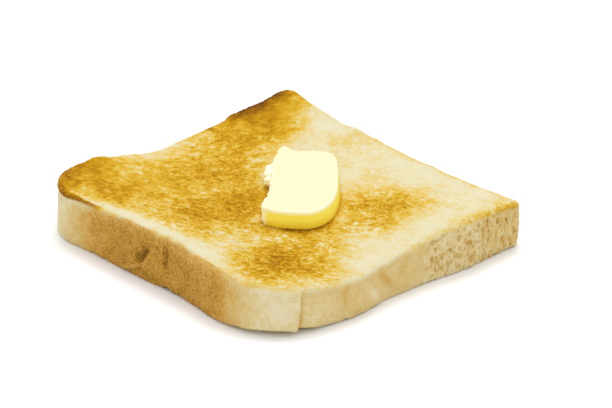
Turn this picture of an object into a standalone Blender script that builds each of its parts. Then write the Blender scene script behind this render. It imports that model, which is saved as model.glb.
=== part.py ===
"""A slice of white tin loaf, toasted, with a pat of butter on it. Metres, +Z up.

The slice lies on its cut face, with its origin under its middle on the surface it rests on.
The top of the loaf faces -Y, so the two rounded corners are at -Y and the two tight ones,
from the bottom of the tin, at +Y. Drying in the toaster has curled the slice: its -X +Y
corner stands highest, and its rim is higher than its crumb. Two of its sides swell out of
the straight, where the dough rose over its tin. Shapes are worked out about the middle of
the straight-sided slice, and add_object brings each to the middle of the swollen one.
"""

import math

import bmesh
import bpy
from mathutils import Vector

MM = 0.001

# The slice lying down: half its width across the loaf, and half its height up the loaf
HALF_X = 50.6 * MM
HALF_Y = 49.1 * MM
DOME_RADIUS_RIGHT = 16.7 * MM  # the loaf's rounded top corners
DOME_RADIUS_LEFT = 17.2 * MM
TIN_RADIUS_RIGHT = 5.5 * MM  # its corners from the bottom of the tin
TIN_RADIUS_LEFT = 4.0 * MM

# Thickness: that of the crumb near its rim, and where the rim and the middle swell above it.
# Each swell is a round hill: its centre as shares of HALF_X and HALF_Y, its reach and its rise.
CRUMB_THICKNESS = 10.4 * MM
SWELLS = (
    (0.0, 0.0, 34 * MM, 1.5 * MM),
    (1.0, -1.0, 26 * MM, 2.3 * MM),
    (1.0, 1.0, 26 * MM, 2.2 * MM),
    (-1.0, 1.0, 26 * MM, 7.3 * MM),
    (-1.0, -1.0, 26 * MM, 3.3 * MM),
    (0.0, -1.0, 20 * MM, 4.8 * MM),
    (-0.5, -1.0, 18 * MM, 2.4 * MM),
    (0.5, -1.0, 18 * MM, 2.5 * MM),
    (1.0, 0.0, 20 * MM, 1.2 * MM),
    (1.0, 0.5, 18 * MM, 2.9 * MM),
    (0.0, 1.0, 20 * MM, 2.4 * MM),
    (-0.5, 1.0, 18 * MM, 1.3 * MM),
    (-1.0, 0.33, 22 * MM, 0.7 * MM),
    (-1.0, -0.45, 20 * MM, 2.9 * MM),
    # and the rim's own short waves
    (-1.0, -0.78, 11 * MM, 0.5 * MM),
    (-1.0, -0.13, 11 * MM, -1.2 * MM),
    (-1.0, 0.33, 9 * MM, 0.6 * MM),
    (-1.0, 0.85, 9 * MM, -0.8 * MM),
    (-0.88, 1.0, 6 * MM, 0.5 * MM),
    (-0.28, 1.0, 8 * MM, 0.6 * MM),
    (0.52, 1.0, 10 * MM, 0.5 * MM),
)
UNEVENNESS = 0.2 * MM  # height of the crumb's broad waves
UNEVEN_LENGTH = 8.5 * MM

# Where the sides swell out of the straight: the place along the side, the reach and the swell
SWELLS_RIGHT = ((-22 * MM, 12 * MM, 2.5 * MM), (25 * MM, 9 * MM, 1.3 * MM))
SWELLS_DOME = ((30 * MM, 11 * MM, 1.9 * MM),)
SWELL_FADE = 6  # the power of the distance from the middle with which a swell grows
MIDDLE_X, MIDDLE_Y = 1.26 * MM, -1.15 * MM  # of the swollen slice

# The crust: a lip above the dried crumb, and rounded edges
LIP_HEIGHT = 0.5 * MM
LIP_WIDTH = 2.2 * MM
TOP_EDGE_RADIUS = 1.5 * MM
BOTTOM_EDGE_RADIUS = 0.9 * MM
CRUST_BULGE = 0.4 * MM
STRIP_DIP = 0.7 * MM  # the strip along the loaf's top, which the toaster left pale
STRIP_FROM_EDGE = 5.5 * MM
STRIP_HALF_WIDTH = 3.5 * MM

# The -X +Y corner has curled up off the table. The folded one across from it has too, a
# little, and its crust splays out at the foot.
CURL_LIFT = 2.5 * MM
CURL_REACH = 34 * MM
FOLDED_LIFT = 3.0 * MM
FOLDED_FLARE = 5.7 * MM
FOLDED_REACH = 30 * MM
FLARE_HEIGHT = 16 * MM  # where the splay has come down to nothing

# The step in the crust of the +X -Y corner, where the dough's skin folded over
FOLD_ANGLE = math.radians(-23)  # about the corner's centre, from +X
FOLD_STEP = 0.45 * MM
FOLD_FADE = 14 * MM
FOLD_GROOVE_RADIUS = 0.5 * MM

# Marks in the crust of the loaf's top: how far along it they are (X) and how far up (Z)
DENT_X, DENT_Z = -2.8 * MM, 7.4 * MM
DENT_SIZE = (1.5 * MM, 1.6 * MM, 2.4 * MM)
CREASE_X, CREASE_FOOT_Z = 6.6 * MM, 7.2 * MM
CREASE_RADIUS = 0.6 * MM
CHIP_X = 7 * MM  # out of the crust's foot
CHIP_SIZE = (2.2 * MM, 1.4 * MM, 1.1 * MM)
LIP_GROOVE_FROM_X, LIP_GROOVE_FROM_Z = -38 * MM, 13.2 * MM  # under the crust's browned lip
LIP_GROOVE_TO_X, LIP_GROOVE_TO_Z = -26.5 * MM, 15.1 * MM
LIP_GROOVE_RADIUS = 0.7 * MM

# The butter: a slice off a rounded block, one end broken off
BUTTER_CENTRE = (4.4 * MM, 4.8 * MM)
BUTTER_TURN = math.radians(46.0)
BUTTER_THICKNESS = 5.0 * MM
BUTTER_HALF_LENGTH = 22.2 * MM
BUTTER_TO_SKIN = 9.9 * MM  # from its centre to its whole side
BUTTER_TO_BREAK = 10.3 * MM  # and to its broken side, which slants and is ragged
BUTTER_BREAK_SLANT = 1.9 * MM
BUTTER_BREAK_WAVE = 0.8 * MM
BUTTER_UNBROKEN_HALF = 15.8 * MM  # what the curves of its ends would have run on to
BUTTER_NEAR_SQUARENESS = 2.1  # exponents of its two rounded corners: 2 is an ellipse
BUTTER_FAR_SQUARENESS = 6.0
BUTTER_EDGE_RADIUS = 0.8 * MM
REST_GAP = 0.3 * MM

# How finely the two blocks are cut before they are shaped, along X, Y and Z
SLICE_CELLS = (40, 40, 8)
BUTTER_CELLS = (12, 20, 5)
EDGE_LAYERS = 2  # layers of a block's side that go to each rounded edge
EDGE_PACKING = 0.3  # how much closer the slice's cells are at its edge
SMALLEST_RADIUS = 0.2 * MM
CUTTER_TOP = 20 * MM  # above every part of the slice


def clear_scene():
    for old in list(bpy.data.objects):
        bpy.data.objects.remove(old, do_unlink=True)


def collection(name):
    made = bpy.data.collections.new(name)
    bpy.context.scene.collection.children.link(made)
    return made


def material(name, colour, roughness):
    made = bpy.data.materials.new(name)
    made.use_nodes = True
    surface = made.node_tree.nodes["Principled BSDF"]
    surface.inputs["Base Color"].default_value = (*colour, 1.0)
    surface.inputs["Roughness"].default_value = roughness
    return made


def add_object(name, bm, group, look=None):
    bmesh.ops.translate(bm, vec=(-MIDDLE_X, -MIDDLE_Y, 0), verts=bm.verts)
    bm.normal_update()
    mesh = bpy.data.meshes.new(name)
    bm.to_mesh(mesh)
    bm.free()
    if look:
        mesh.materials.append(look)
        mesh.shade_smooth()
        mesh.set_sharp_from_angle(angle=math.radians(50))
    made = bpy.data.objects.new(name, mesh)
    group.objects.link(made)
    return made


def ease(x):
    """0 below 0, 1 above 1, and a smooth rise between."""
    x = min(max(x, 0.0), 1.0)
    return x * x * (3.0 - 2.0 * x)


def hill(distance, reach):
    return math.exp(-((distance / reach) ** 2))


# ---------------------------------------------------------------- blocks to be shaped


def block(cells):
    """A cube from -1 to 1, cut into cells along each axis."""
    bm = bmesh.new()
    bmesh.ops.create_cube(bm, size=2.0)
    for axis, count in enumerate(cells):
        along = [e for e in bm.edges if abs(e.verts[0].co[axis] - e.verts[1].co[axis]) > 1.0]
        bmesh.ops.subdivide_edges(bm, edges=along, cuts=count - 1, use_grid_fill=True)
    return bm


def side_profile(layer, layers, bottom_radius, top_radius):
    """A block's side at one layer: how far it is drawn in, its share of the wall between the
    two rounded edges, and its height above the wall's foot or top."""
    if layer <= EDGE_LAYERS:
        turn = math.pi / 2 * layer / EDGE_LAYERS
        return bottom_radius * (1 - math.sin(turn)), 0.0, -bottom_radius * math.cos(turn)
    if layer >= layers - EDGE_LAYERS:
        turn = math.pi / 2 * (layers - layer) / EDGE_LAYERS
        return top_radius * (1 - math.sin(turn)), 1.0, top_radius * math.cos(turn)
    return 0.0, (layer - EDGE_LAYERS) / (layers - 2 * EDGE_LAYERS), 0.0


# ---------------------------------------------------------------- the slice's form


def corner_radius(x, y):
    if y < 0:
        return DOME_RADIUS_RIGHT if x > 0 else DOME_RADIUS_LEFT
    return TIN_RADIUS_RIGHT if x > 0 else TIN_RADIUS_LEFT


def distance_from_edge(x, y):
    """How far inside the slice's outline a point is."""
    radius = corner_radius(x, y)
    over_x = abs(x) - (HALF_X - radius)
    over_y = abs(y) - (HALF_Y - radius)
    outside = math.hypot(max(over_x, 0.0), max(over_y, 0.0))
    return radius - outside - min(max(over_x, over_y), 0.0)


def pale_strip(x, y):
    """1 along the middle of the pale strip by the loaf's top, fading to 0 at its sides and ends."""
    across = hill(y + HALF_Y - STRIP_FROM_EDGE, STRIP_HALF_WIDTH)
    return across * ease((x + 0.7 * HALF_X) / (0.3 * HALF_X)) * ease((0.9 * HALF_X - x) / (0.3 * HALF_X))


def top_height(x, y):
    height = CRUMB_THICKNESS
    for share_x, share_y, reach, rise in SWELLS:
        height += rise * hill(math.hypot(x - share_x * HALF_X, y - share_y * HALF_Y), reach)
    height += UNEVENNESS * math.sin(x / UNEVEN_LENGTH + 0.6) * math.sin(y / UNEVEN_LENGTH + 2.0)
    height += LIP_HEIGHT * (1 - ease(distance_from_edge(x, y) / LIP_WIDTH))
    return height - STRIP_DIP * pale_strip(x, y)


def near_folded(x, y):
    """1 at the folded corner of the outline's square, falling to 0 at its reach."""
    return max(0.0, 1 - math.hypot(x - HALF_X, y + HALF_Y) / FOLDED_REACH) ** 2


def underside(x, y):
    """Flat on the table, but for the two corners that have curled up."""
    curl = CURL_LIFT * max(0.0, 1 - math.hypot(x + HALF_X, y - HALF_Y) / CURL_REACH) ** 2
    return curl + FOLDED_LIFT * near_folded(x, y)


def fold_step(x, y):
    """The crust is drawn in on one side of the corner's fold, and the step fades out from it."""
    centre_x, centre_y = HALF_X - DOME_RADIUS_RIGHT, DOME_RADIUS_RIGHT - HALF_Y
    past = math.atan2(y - centre_y, x - centre_x) - FOLD_ANGLE
    if x < centre_x or past < 0:
        return 0.0
    along = DOME_RADIUS_RIGHT * past if y < centre_y else y - centre_y - DOME_RADIUS_RIGHT * FOLD_ANGLE
    return FOLD_STEP * ease(1 - along / FOLD_FADE)


def swollen(x, y, z):
    """Moves a point out with the swelling of the slice's sides and the splay of its foot."""
    right = sum(swell * hill(y - at, reach) for at, reach, swell in SWELLS_RIGHT)
    dome = sum(swell * hill(x - at, reach) for at, reach, swell in SWELLS_DOME)
    to_right, to_dome = max(x / HALF_X, 0.0), max(-y / HALF_Y, 0.0)
    splay = FOLDED_FLARE * near_folded(x, y) * (1 - z / FLARE_HEIGHT) * math.sqrt(0.5)
    return Vector((x + right * to_right**SWELL_FADE + splay, y - dome * to_dome**SWELL_FADE - splay, z))


def on_rounded_square(s, t, inset):
    """Carries a point of the square -1..1 to the slice's outline drawn in by inset."""
    half_x, half_y = HALF_X - inset, HALF_Y - inset
    ring = max(abs(s), abs(t))
    radius = max(corner_radius(s, t) - inset, SMALLEST_RADIUS) * ring**3
    from_x = abs(s) * half_x - (ring * half_x - radius)
    from_y = abs(t) * half_y - (ring * half_y - radius)
    if from_x <= 0 or from_y <= 0:
        return s * half_x, t * half_y
    shrink = radius / math.hypot(from_x, from_y)
    x = ring * half_x - radius + from_x * shrink
    y = ring * half_y - radius + from_y * shrink
    return math.copysign(x, s), math.copysign(y, t)


def pack_to_edge(s):
    """Spaces a block's cells closer near the slice's edge, where its crust is."""
    return s * (1 + EDGE_PACKING * (1 - s * s))


def slice_point(s, t, k):
    layers = SLICE_CELLS[2]
    layer = round((k + 1) / 2 * layers)
    inset, share, rise = side_profile(layer, layers, BOTTOM_EDGE_RADIUS, TOP_EDGE_RADIUS)
    inset += CRUST_BULGE * (1 - math.sin(math.pi * (layer + 1) / (layers + 2)))
    s, t = pack_to_edge(s), pack_to_edge(t)
    x, y = on_rounded_square(s, t, inset)
    step = fold_step(x, y) * max(abs(s), abs(t)) ** 8
    x, y = on_rounded_square(s, t, inset + step)
    foot = underside(x, y) + BOTTOM_EDGE_RADIUS
    top = top_height(x, y) - TOP_EDGE_RADIUS
    return swollen(x, y, foot + (top - foot) * share + rise)


# ---------------------------------------------------------------- marks cut into the crust


def finish_cutter(name, bm, group):
    cutter = add_object(name, bm, group)
    cutter.hide_render = True
    cutter.display_type = "WIRE"
    return cutter


def rod(name, start, end, radius, group):
    """A round bar between two points: laid in a surface, it cuts a groove."""
    start, end = Vector(start), Vector(end)
    bm = bmesh.new()
    bmesh.ops.create_cone(
        bm, cap_ends=True, segments=10, radius1=radius, radius2=radius, depth=(end - start).length
    )
    turn = (end - start).to_track_quat("Z", "Y").to_matrix()
    bmesh.ops.rotate(bm, matrix=turn, verts=bm.verts)
    bmesh.ops.translate(bm, vec=(start + end) / 2, verts=bm.verts)
    return finish_cutter(name, bm, group)


def ball(name, centre, radii, group):
    """An egg-shaped ball: set in a surface, it cuts a dent."""
    bm = bmesh.new()
    bmesh.ops.create_uvsphere(bm, u_segments=12, v_segments=8, radius=1.0)
    bmesh.ops.scale(bm, vec=radii, verts=bm.verts)
    bmesh.ops.translate(bm, vec=centre, verts=bm.verts)
    return finish_cutter(name, bm, group)


def dome_crust_y(x):
    """Where the crust of the loaf's top is at x, round its left corner too."""
    into_corner = max(-x - (HALF_X - DOME_RADIUS_LEFT), 0.0)
    return -HALF_Y + DOME_RADIUS_LEFT - math.sqrt(DOME_RADIUS_LEFT**2 - into_corner**2)


def crust_marks(group):
    """The cutters for the marks in the crust of the loaf's top and of the folded corner."""
    fold_x = HALF_X - DOME_RADIUS_RIGHT * (1 - math.cos(FOLD_ANGLE))
    fold_y = -HALF_Y + DOME_RADIUS_RIGHT * (1 + math.sin(FOLD_ANGLE))
    fold_ends = swollen(fold_x, fold_y, -CUTTER_TOP), swollen(fold_x, fold_y, CUTTER_TOP)
    crease_ends = (CREASE_X, -HALF_Y, CREASE_FOOT_Z), (CREASE_X, -HALF_Y, CUTTER_TOP)
    lip_start = (LIP_GROOVE_FROM_X, dome_crust_y(LIP_GROOVE_FROM_X), LIP_GROOVE_FROM_Z)
    lip_end = (LIP_GROOVE_TO_X, dome_crust_y(LIP_GROOVE_TO_X), LIP_GROOVE_TO_Z)
    return (
        rod("fold_groove", *fold_ends, FOLD_GROOVE_RADIUS, group),
        rod("crease", *crease_ends, CREASE_RADIUS, group),
        rod("lip_groove", lip_start, lip_end, LIP_GROOVE_RADIUS, group),
        ball("dent", (DENT_X, -HALF_Y, DENT_Z), DENT_SIZE, group),
        ball("foot_chip", (CHIP_X, -HALF_Y, 0), CHIP_SIZE, group),
    )


def cut(target, cutter):
    boolean = target.modifiers.new(f"cut {cutter.name}", "BOOLEAN")
    boolean.operation = "DIFFERENCE"
    boolean.solver = "EXACT"
    boolean.object = cutter


def merge_flat_underside(bm):
    """Makes the faces that lie on the table one face."""
    on_table = [f for f in bm.faces if max(v.co.z for v in f.verts) < 0.001 * MM]
    bmesh.ops.dissolve_faces(bm, faces=on_table, use_verts=False)


def make_slice(group, cutters):
    bm = block(SLICE_CELLS)
    for vert in bm.verts:
        vert.co = slice_point(*vert.co)
    merge_flat_underside(bm)
    crust = material("toast", (0.66, 0.43, 0.16), 0.85)
    toast = add_object("toast_slice", bm, group, crust)
    for cutter in crust_marks(cutters):
        cut(toast, cutter)
    return toast


# ---------------------------------------------------------------- the butter's form


def butter_outline(s, t, inset):
    """Carries a point of the square -1..1 to the pat's outline drawn in by inset, about the
    pat's own middle: whole and rounded at +s, broken off nearly straight at -s."""
    half_length = BUTTER_HALF_LENGTH - inset
    if s < 0:
        wave = 0.6 * math.sin(9 * t) + 0.4 * math.sin(17 * t + 1)
        to_break = BUTTER_TO_BREAK - BUTTER_BREAK_SLANT * t + BUTTER_BREAK_WAVE * wave
        across = s * (to_break - inset)
        curve = (1 - (abs(across) / BUTTER_UNBROKEN_HALF) ** 3) ** (1 / 3)
        return across, t * half_length * curve
    squareness = BUTTER_NEAR_SQUARENESS if t < 0 else BUTTER_FAR_SQUARENESS
    ring = max(abs(s), abs(t), 1e-6)
    shrink = ((abs(s) / ring) ** squareness + (abs(t) / ring) ** squareness) ** (-1 / squareness)
    return s * (BUTTER_TO_SKIN - inset) * shrink, t * half_length * shrink


def butter_point(s, t, k):
    layers = BUTTER_CELLS[2]
    layer = round((k + 1) / 2 * layers)
    radius = BUTTER_EDGE_RADIUS
    inset, share, rise = side_profile(layer, layers, radius, radius)
    across, along = butter_outline(s, t, inset)
    cos, sin = math.cos(BUTTER_TURN), math.sin(BUTTER_TURN)
    x = BUTTER_CENTRE[0] + across * cos - along * sin
    y = BUTTER_CENTRE[1] + across * sin + along * cos
    foot = top_height(x, y) + REST_GAP + radius
    top = top_height(*BUTTER_CENTRE) + REST_GAP + BUTTER_THICKNESS - radius
    return Vector((x, y, foot + (top - foot) * share + rise))


def make_butter(group):
    bm = block(BUTTER_CELLS)
    for vert in bm.verts:
        vert.co = butter_point(*vert.co)
    return add_object("butter_pat", bm, group, material("butter", (0.93, 0.78, 0.28), 0.35))


clear_scene()
parts = collection("buttered_toast")
tools = collection("cutters")
make_slice(parts, tools)
make_butter(parts)
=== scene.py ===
# %% [markdown]
# # Buttered toast
#
# One slice of white tin loaf, toasted unevenly and curled a little as it dried, with a thick
# pat of butter broken off a rounded block. The solids of both are already there, as a fixed
# frame: this lesson puts the real surface on them. Each piece is one closed skin worked out
# with numpy, with its crumb, crust and broken edge as real relief, and a material that reads
# how brown each spot is. Shapes are worked out in millimetres and become metres at the end.

# %% Load the fixed frame
import math

import bpy
import numpy as np
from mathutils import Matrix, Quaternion, Vector


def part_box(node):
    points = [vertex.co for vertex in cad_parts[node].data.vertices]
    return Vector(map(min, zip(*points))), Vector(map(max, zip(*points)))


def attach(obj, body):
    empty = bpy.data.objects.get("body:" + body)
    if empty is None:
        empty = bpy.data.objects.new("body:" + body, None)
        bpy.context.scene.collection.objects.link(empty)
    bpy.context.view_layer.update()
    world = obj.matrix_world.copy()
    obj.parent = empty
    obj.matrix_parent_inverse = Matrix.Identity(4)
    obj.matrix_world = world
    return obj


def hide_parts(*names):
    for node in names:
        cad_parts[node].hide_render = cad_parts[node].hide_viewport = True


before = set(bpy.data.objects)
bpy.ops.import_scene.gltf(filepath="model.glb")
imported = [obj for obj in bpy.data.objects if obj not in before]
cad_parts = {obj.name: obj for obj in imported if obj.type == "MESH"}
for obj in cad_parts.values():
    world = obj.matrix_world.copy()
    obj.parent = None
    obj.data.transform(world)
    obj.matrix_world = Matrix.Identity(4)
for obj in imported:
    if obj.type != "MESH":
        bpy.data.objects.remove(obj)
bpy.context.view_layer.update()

MM = 0.001
for node in sorted(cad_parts):
    low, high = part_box(node)
    print(node, "is", [round(side / MM, 1) for side in high - low], "mm")

# %% [markdown]
# ## Camera
#
# A slice lies low, so a long lens from a little above shows its whole top and two of its
# sides. The camera is set by its angles round the slice, like a crane on a circle: azimuth,
# elevation and distance. A small roll about its own axis is added last.

# %% Camera
AZIMUTH, ELEVATION, ROLL = 46.13, 24.17, 1.5  # degrees
CAMERA_DISTANCE = 742.9 * MM
LENS = 152.9  # mm, on a sensor 36 mm wide
SWING_CENTRE = Vector((-1.26, 1.15, 0)) * MM  # what it circles
AIM_RIGHT, AIM_UP = 7.57 * MM, 9.09 * MM  # what it looks at, from there


def direction(azimuth, elevation):
    """The way from the slice to a camera or a lamp, from its angles in degrees."""
    a, e = math.radians(azimuth), math.radians(elevation)
    return Vector((math.sin(a) * math.cos(e), -math.cos(a) * math.cos(e), math.sin(e)))


def facing(way):
    """The turn that makes a camera or a lamp look along way."""
    return way.to_track_quat("-Z", "Y")


camera = bpy.data.objects.new("camera", bpy.data.cameras.new("camera"))
bpy.context.scene.collection.objects.link(camera)
bpy.context.scene.camera = camera
camera.data.lens = LENS
camera.data.clip_start, camera.data.clip_end = 0.05, 50
camera.location = SWING_CENTRE + direction(AZIMUTH, ELEVATION) * CAMERA_DISTANCE
level = facing(SWING_CENTRE - camera.location)
aim = SWING_CENTRE + level @ Vector((AIM_RIGHT, AIM_UP, 0))
camera.rotation_mode = "QUATERNION"
roll = Quaternion((0, 0, 1), math.radians(ROLL))
camera.rotation_quaternion = facing(aim - camera.location) @ roll
print("the camera is", round(camera.location.z / MM), "mm above the table")

# %% [markdown]
# ## Light, world and floor
#
# Food on white is lit by a big soft box overhead in a bright white room: shadows stay soft
# and close, and the floor turns pure white. The alternative, one small lamp, would draw hard
# shadows. The Standard view keeps the colours that the materials are given.

# %% Light
scene = bpy.context.scene
scene.view_settings.view_transform = "Standard"
WORLD_BRIGHTNESS = 0.93
ROOM_WHITE = (1.0, 1.0, 1.0)

room = bpy.data.worlds.new("white room")
room.use_nodes = True
sky = room.node_tree.nodes["Background"]
sky.inputs["Color"].default_value = (*ROOM_WHITE, 1)
sky.inputs["Strength"].default_value = WORLD_BRIGHTNESS
scene.world = room


def soft_box(name, azimuth, elevation, distance, size, watts):
    """A square lamp that looks at the slice from an azimuth and an elevation in degrees."""
    lamp = bpy.data.lights.new(name, "AREA")
    lamp.size, lamp.energy, lamp.color = size, watts, ROOM_WHITE
    held = bpy.data.objects.new(name, lamp)
    held.location = direction(azimuth, elevation) * distance
    held.rotation_mode = "QUATERNION"
    held.rotation_quaternion = facing(-held.location)
    scene.collection.objects.link(held)
    return held


overhead = soft_box("overhead soft box", 222, 71, 1.2, 0.5, 5.8)
fill = soft_box("front fill", 40, 35, 1.6, 1.0, 1.6)
for box in (overhead, fill):
    print(box.name, "is", round(box.location.z, 2), "m up at", round(box.data.energy, 1), "W")

# %% Floor
FLOOR_SIZE = 12.0


def linear(hex_colour):
    """sRGB hex, such as "#ffcc00", to the linear numbers that shaders take."""
    part = np.array([int(hex_colour[i : i + 2], 16) / 255 for i in (1, 3, 5)])
    straight = np.where(part <= 0.04045, part / 12.92, ((part + 0.055) / 1.055) ** 2.4)
    return (*(float(v) for v in straight), 1.0)


bpy.ops.mesh.primitive_plane_add(size=FLOOR_SIZE)
floor = bpy.context.object
floor.name = "floor"
board = bpy.data.materials.new("matt white board")
board.use_nodes = True
board.node_tree.nodes["Principled BSDF"].inputs["Base Color"].default_value = linear("#f8f9fb")
board.node_tree.nodes["Principled BSDF"].inputs["Roughness"].default_value = 0.9
floor.data.materials.append(board)
print("the floor is", FLOOR_SIZE, "m across")

# %% [markdown]
# ## Random unevenness
#
# Nothing baked is even. Two kinds of randomness do all of it here. Lattice noise is smooth
# hills and hollows of one size, for waves and mottling. Strewn points give cells, for the
# bubbles in the dough: each bubble has its own middle and its own size. Both work on whole
# arrays of positions, and a seed makes them the same on each run.

# %% Noise
LATTICE = 32


def noise(places, grain, seed):
    """Smooth noise from -1 to 1: a random number on each corner of a lattice of cubes with
    side grain, and between them the mean of the eight corners, weighted by smooth steps."""
    table = np.random.default_rng(seed).uniform(-1, 1, (LATTICE,) * 3)
    place = places / grain + LATTICE
    cube = np.floor(place).astype(int)
    share = place - cube
    share = share * share * (3 - 2 * share)
    total = np.zeros(len(places))
    for corner in np.ndindex(2, 2, 2):
        weight = np.where(corner, share, 1 - share).prod(axis=1)
        at = (cube + corner) % LATTICE
        total += weight * table[at[:, 0], at[:, 1], at[:, 2]]
    return total


def rough_noise(places, grain, seed, octaves=3):
    """Noise plus noise of half the grain and 0.6 of the height, and so on."""
    total = sum(0.6**k * noise(places, grain / 2**k, seed + k) for k in range(octaves))
    return total / sum(0.6**k for k in range(octaves))


def bubbles(places, grain, seed):
    """One point is strewn in each cube of side grain. Gives each place its distance from the
    nearest point, as a share of grain, and that point's own random number from 0 to 1."""
    table = np.random.default_rng(seed).random((LATTICE, LATTICE, LATTICE, 4))
    place = places / grain + LATTICE
    cube = np.floor(place).astype(int)
    nearest = np.full(len(places), np.inf)
    own = np.zeros(len(places))
    for step in np.ndindex(3, 3, 3):
        other = cube + np.array(step) - 1
        at = other % LATTICE
        strewn = table[at[:, 0], at[:, 1], at[:, 2]]
        away = np.linalg.norm(other + strewn[:, :3] - place, axis=1)
        closer = away < nearest
        nearest = np.where(closer, away, nearest)
        own = np.where(closer, strewn[:, 3], own)
    return nearest, own


def ease(x):
    """0 below 0, 1 above 1, and between them the smooth rise 3x^2 - 2x^3."""
    x = np.clip(x, 0, 1)
    return x * x * (3 - 2 * x)


def hill(distance, reach):
    """1 in the middle and exp(-(distance/reach)^2) away from it, nearly 0 at twice the reach."""
    return np.exp(-((distance / reach) ** 2))


walk = np.column_stack((np.arange(5.0), np.zeros(5), np.zeros(5)))
print("noise of grain 4 mm, each mm of a walk:", noise(walk, 4, 0).round(2).tolist())

# %% [markdown]
# ## A closed skin
#
# Both pieces are slabs, and a slab's skin is made like wrapping paper: a fine square net on
# top, a band of rows down round the side, and a coarser net below. The nets share their
# border with the band, so the skin is closed with no seam. The other way, a subdivided cube,
# would spend as many faces on the hidden underside as on the top.

# %% The skin's net
BELOW_RATIO = 4  # the net below is this many times coarser


def border_of(cells):
    """The corner numbers of a square net's border, once round counter-clockwise from its
    lower left, where number = column + (cells + 1) * row."""
    i, row = np.arange(cells), cells + 1
    return np.concatenate((i, cells + i * row, cells * row + cells - i, (cells - i) * row))


def net_quads(cells):
    """The squares of a net, counter-clockwise seen from above."""
    column, row = np.meshgrid(np.arange(cells), np.arange(cells))
    first = (column + (cells + 1) * row).ravel()
    return np.column_stack((first, first + 1, first + cells + 2, first + cells + 1))


def slab_net(cells, rows):
    """The skin of a slab as s, t from -1 to 1 and a row number for each vertex, 0 on the top
    net, 1 to rows down the side and rows + 1 on the net below, and its faces."""
    line = np.linspace(-1, 1, cells + 1)
    top_s, top_t = (axis.ravel() for axis in np.meshgrid(line, line))
    border = border_of(cells)
    below_cells = cells // BELOW_RATIO
    below_line = np.linspace(-1, 1, below_cells + 1)
    below_s, below_t = (axis.ravel() for axis in np.meshgrid(below_line, below_line))
    s = np.concatenate((top_s, np.tile(top_s[border], rows), below_s))
    t = np.concatenate((top_t, np.tile(top_t[border], rows), below_t))
    side_row = np.repeat(np.arange(1, rows + 1), len(border))
    below_row = np.full(len(below_s), rows + 1)
    row = np.concatenate((np.zeros(len(top_s)), side_row, below_row)).astype(int)
    rings = len(top_s) + np.arange(rows * len(border)).reshape(rows, -1)
    rings = np.vstack((border, rings))
    upper, lower = rings[:-1], rings[1:]
    side = np.stack((upper, lower, np.roll(lower, -1, 1), np.roll(upper, -1, 1)), -1).reshape(-1, 4)
    first_below = len(top_s) + rows * len(border)

    # A face joins each long edge of the net below to the four short edges of the last row
    inner = first_below + border_of(below_cells)
    last = rings[-1].reshape(-1, BELOW_RATIO)
    ends = np.roll(last[:, 0], -1)
    joint = np.column_stack((last[:, 0], inner, np.roll(inner, -1), ends, last[:, :0:-1]))
    below = first_below + net_quads(below_cells)[:, ::-1]
    faces = [*net_quads(cells).tolist(), *side.tolist(), *joint.tolist(), *below.tolist()]
    return s, t, row, faces


def make_piece(name, places, faces, looks):
    """A smooth-shaded object from places in mm, with its looks as vertex attributes."""
    mesh = bpy.data.meshes.new(name)
    mesh.from_pydata((places * MM + np.array(SWING_CENTRE)).tolist(), [], faces)
    for look, values in looks.items():
        kept = mesh.attributes.new(look, "FLOAT", "POINT").data
        kept.foreach_set("value", values.astype(np.float32))
    mesh.shade_smooth()
    mesh.validate()
    made = bpy.data.objects.new(name, mesh)
    scene.collection.objects.link(made)
    print(name, "has", sum(len(face) - 2 for face in faces), "triangles")
    return made


print("a slab of 8 x 8 squares with 3 rows round it has", len(slab_net(8, 3)[3]), "faces")

# %% [markdown]
# ## The slice's outline
#
# The loaf rose above its tin, so two corners are broad arcs, and the other two came from the
# tight corners of the tin's floor. The outline is a square whose corners are arcs of four
# sizes, and every ring inside it is the same shape drawn in. Where the dough rose over the
# tin, two sides swell out of the straight. All shapes are worked out on the straight-sided
# slice and about its middle, and the swelling is put on last.

# %% Outline
HALF_X, HALF_Y = 50.6, 49.1  # half the straight-sided slice
DOME_RADIUS_RIGHT, DOME_RADIUS_LEFT = 16.7, 17.2
TIN_RADIUS_RIGHT, TIN_RADIUS_LEFT = 5.5, 4.0
SMALLEST_RADIUS = 0.2
SWELLS_RIGHT = ((-22, 12, 2.5), (25, 9, 1.3))  # place along the side, reach, swell
SWELLS_DOME = ((30, 11, 1.9),)
SWELL_FADE = 6  # the power of the distance from the middle with which a swell grows
FRONT_FLARE, FRONT_REACH, FLARE_HEIGHT = 5.7, 30.0, 16.0  # the folded corner's foot splays out
EDGE_PACKING = 0.12  # how much closer the net's lines are at the crust


def corner_radius(x, y):
    dome = np.where(x > 0, DOME_RADIUS_RIGHT, DOME_RADIUS_LEFT)
    tin = np.where(x > 0, TIN_RADIUS_RIGHT, TIN_RADIUS_LEFT)
    return np.where(y < 0, dome, tin)


def edge_distance(x, y):
    """How far inside the outline a point is: from the straight sides, or from the arc."""
    radius = corner_radius(x, y)
    over_x, over_y = abs(x) - (HALF_X - radius), abs(y) - (HALF_Y - radius)
    outside = np.hypot(np.maximum(over_x, 0), np.maximum(over_y, 0))
    return radius - outside - np.minimum(np.maximum(over_x, over_y), 0)


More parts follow.
